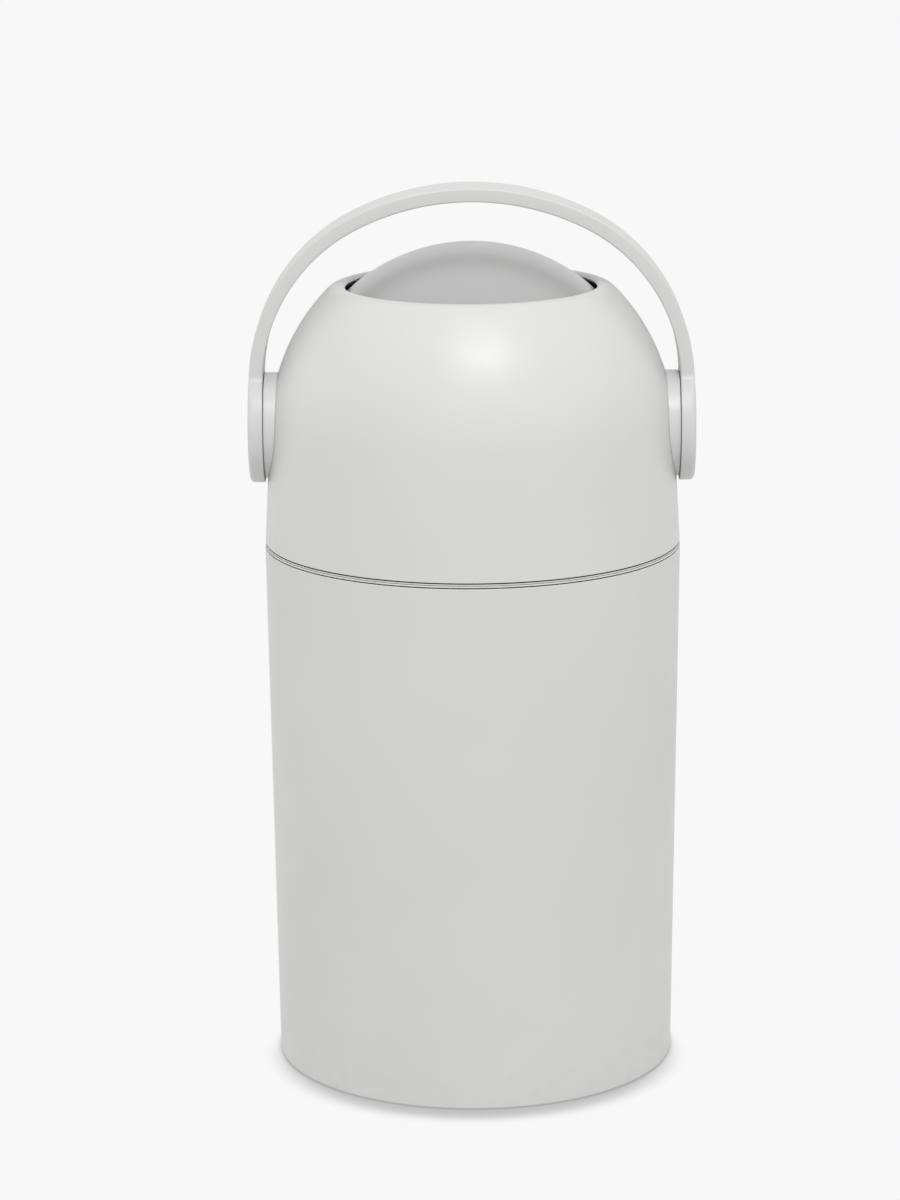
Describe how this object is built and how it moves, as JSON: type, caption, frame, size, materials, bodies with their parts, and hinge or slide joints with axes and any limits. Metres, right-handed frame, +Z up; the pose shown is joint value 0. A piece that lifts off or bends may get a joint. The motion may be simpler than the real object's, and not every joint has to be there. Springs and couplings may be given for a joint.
{
  "type": "nappy bin",
  "caption": "Round domed nappy bin; swinging the arched handle over turns a ball-shaped drum whose chute drops the nappy into the bag below.",
  "frame": {"origin": "on the floor under the middle of the bin, at the level of the rubber pads' faces", "axes": "+Z up, front towards -Y, +X to the right seen from the front, along the drum's turning axis"},
  "size_m": [0.2988, 0.2802, 0.5989],
  "materials": {
    "body_plastic": "satin, very fine moulded grain",
    "lid_plastic": "satin, very fine moulded grain",
    "handle_plastic": "satin",
    "collar_plastic": "semi-gloss, slightly cooler white",
    "ring_plastic": "satin",
    "drum_plastic": "semi-gloss",
    "chute_plastic": "smooth semi-gloss",
    "inner_plastic": "plain moulded",
    "bush_plastic": "natural slippery bearing plastic",
    "gasket_rubber": "pale soft seal, matt",
    "seal_rubber": "black soft seal, matt",
    "pad_rubber": "matt",
    "screw_steel": "zinc plated"
  },
  "bodies": {
    "bin": {"bin_body": "body_plastic", "foot_pads": "pad_rubber"},
    "bag_ring": {"bag_ring": "ring_plastic"},
    "lid": {"lid_dome": "lid_plastic", "drum_housing": "inner_plastic", "rim_gasket": "gasket_rubber", "upper_seal": "seal_rubber", "lower_seal": "seal_rubber", "hub_collar_left": "collar_plastic", "hub_collar_right": "collar_plastic", "bearing_bush_left": "bush_plastic", "bearing_bush_right": "bush_plastic", "lid_screws": "screw_steel", "collar_screws": "screw_steel"},
    "drum": {"drum_front_shell": "drum_plastic", "drum_rear_shell": "drum_plastic", "chute_tube": "chute_plastic", "front_stop_ring": "inner_plastic", "rear_stop_ring": "inner_plastic", "stub_shaft_left": "bush_plastic", "stub_shaft_right": "bush_plastic", "handle": "handle_plastic", "handle_cap_left": "handle_plastic", "handle_cap_right": "handle_plastic", "handle_screws": "screw_steel", "drum_screws": "screw_steel"},
    "piston": {"piston": "inner_plastic", "piston_seal": "seal_rubber"}
  },
  "joints": [
    {"name": "ring_lift", "type": "slide", "parent": "bin", "child": "bag_ring", "axis": [0, 0, 1], "range_m": [0, 0.05]},
    {"name": "lid_lift", "type": "slide", "parent": "bag_ring", "child": "lid", "axis": [0, 0, 1], "range_m": [0, 0.1]},
    {"name": "handle_turn", "type": "hinge", "parent": "lid", "child": "drum", "pos_m": [0, 0, 0.438], "axis": [1, 0, 0], "range_deg": [-90, 90]},
    {"name": "piston_slide", "type": "slide", "parent": "drum", "child": "piston", "axis": [0, 1, 0], "range_m": [-0.1674, 0]}
  ]
}
